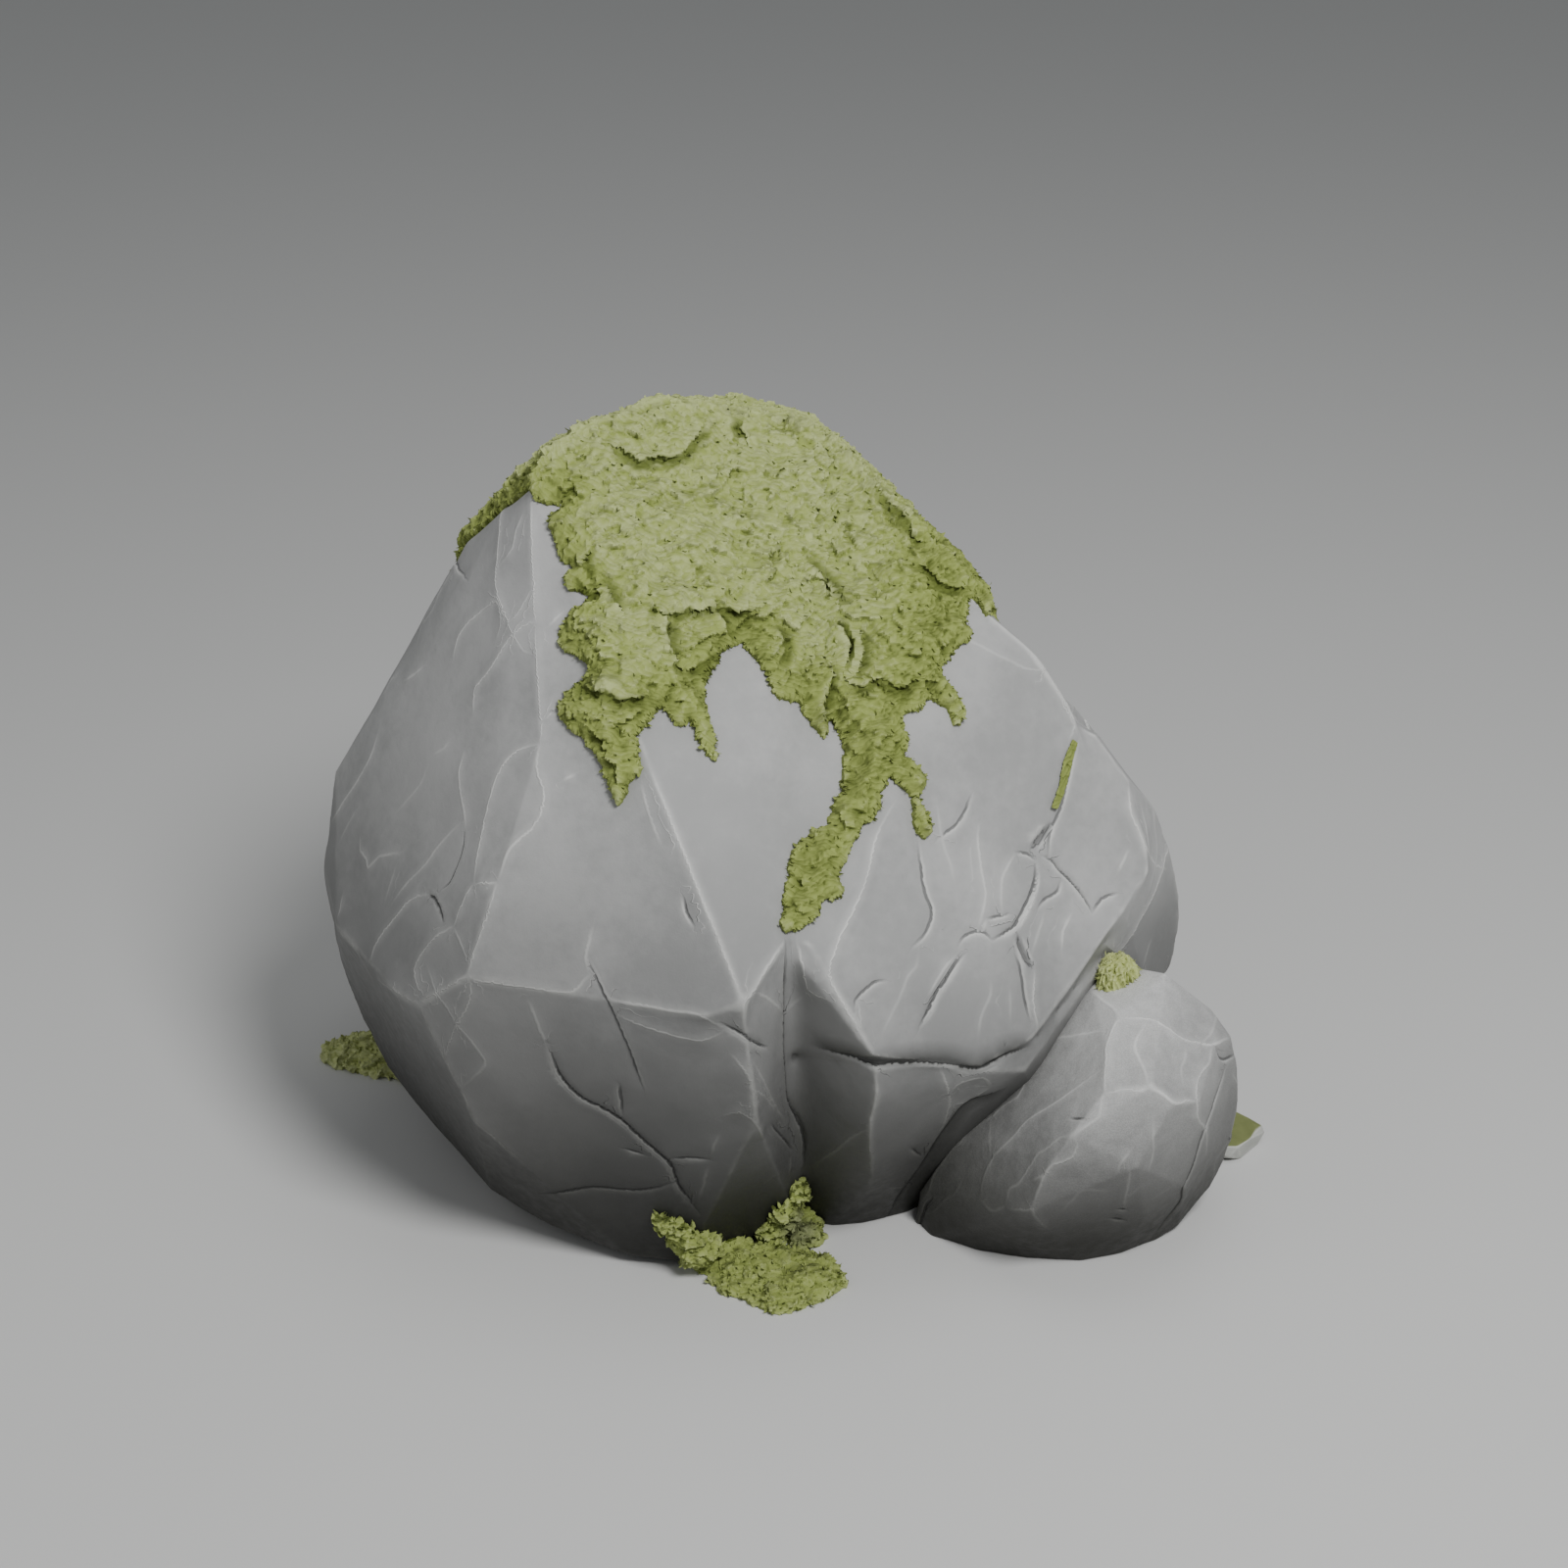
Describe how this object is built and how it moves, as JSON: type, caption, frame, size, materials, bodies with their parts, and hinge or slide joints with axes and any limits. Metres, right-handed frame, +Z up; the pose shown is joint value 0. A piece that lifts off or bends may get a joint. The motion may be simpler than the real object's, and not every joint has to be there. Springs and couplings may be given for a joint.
{
  "type": "mossy rock",
  "caption": "Grey garden boulder of cleft masses with a small boulder leaning on it, a stone chip and moss: a cap that hangs over the crown, ground pads, a tuft and a streak.",
  "frame": {"origin": "on the flat foot that the boulder rests on, near the middle of the boulder, at ground level", "axes": "+Z up, front towards -Y, the small boulder at the front towards +X"},
  "size_m": [1.178, 0.89, 0.9199],
  "materials": {
    "grey_stone": "matt, worn smooth",
    "moss": "matt, dry and flaky"
  },
  "bodies": {
    "root": {"boulder": "grey_stone", "small_boulder": "grey_stone", "side_stone": "grey_stone", "moss_cap": "moss", "moss_pad_front": "moss", "moss_pad_left": "moss", "moss_tuft": "moss", "moss_streak": "moss"}
  },
  "joints": []
}
